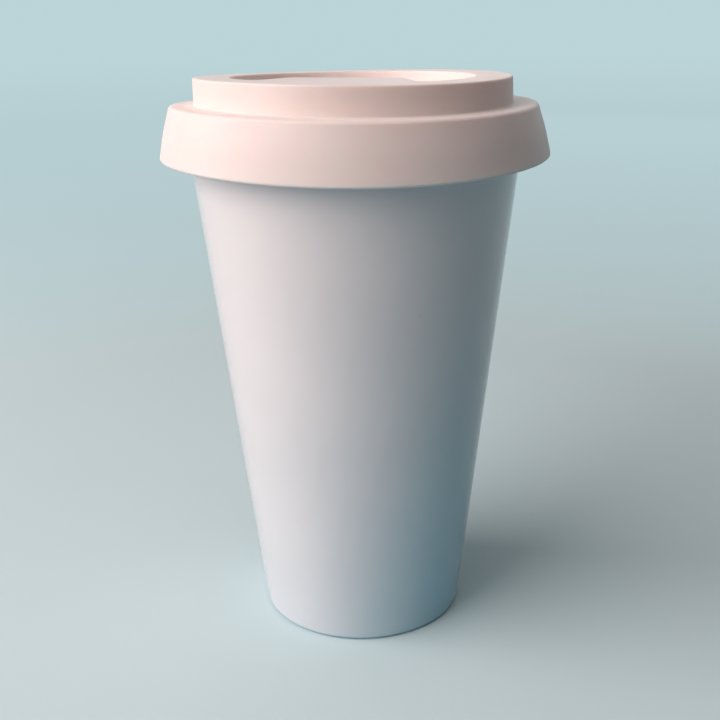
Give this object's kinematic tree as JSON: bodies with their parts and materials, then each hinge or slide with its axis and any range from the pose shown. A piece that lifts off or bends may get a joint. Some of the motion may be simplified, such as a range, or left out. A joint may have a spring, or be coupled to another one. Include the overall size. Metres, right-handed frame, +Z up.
{
  "type": "ceramic takeaway cup with silicone lid",
  "caption": "Tall tapered takeaway cup in glazed ceramic with a press-on silicone lid that has a raised ring, a sunken well and a sip slot.",
  "frame": {"origin": "centre of the cup's foot, on the surface that it stands on", "axes": "+Z up along the cup's axis, -Y towards the side of the lid with the raised land, +X to the right seen from that side"},
  "size_m": [0.1012, 0.1012, 0.1492],
  "materials": {
    "glazed_ceramic": "white gloss glaze",
    "silicone": "matte warm off-white silicone"
  },
  "bodies": {
    "cup": {"cup": "glazed_ceramic"},
    "lid": {"lid": "silicone"}
  },
  "joints": [
    {"name": "lid_lift", "type": "slide", "parent": "cup", "child": "lid", "axis": [0, 0, 1], "range_m": [0, 0.025]}
  ]
}
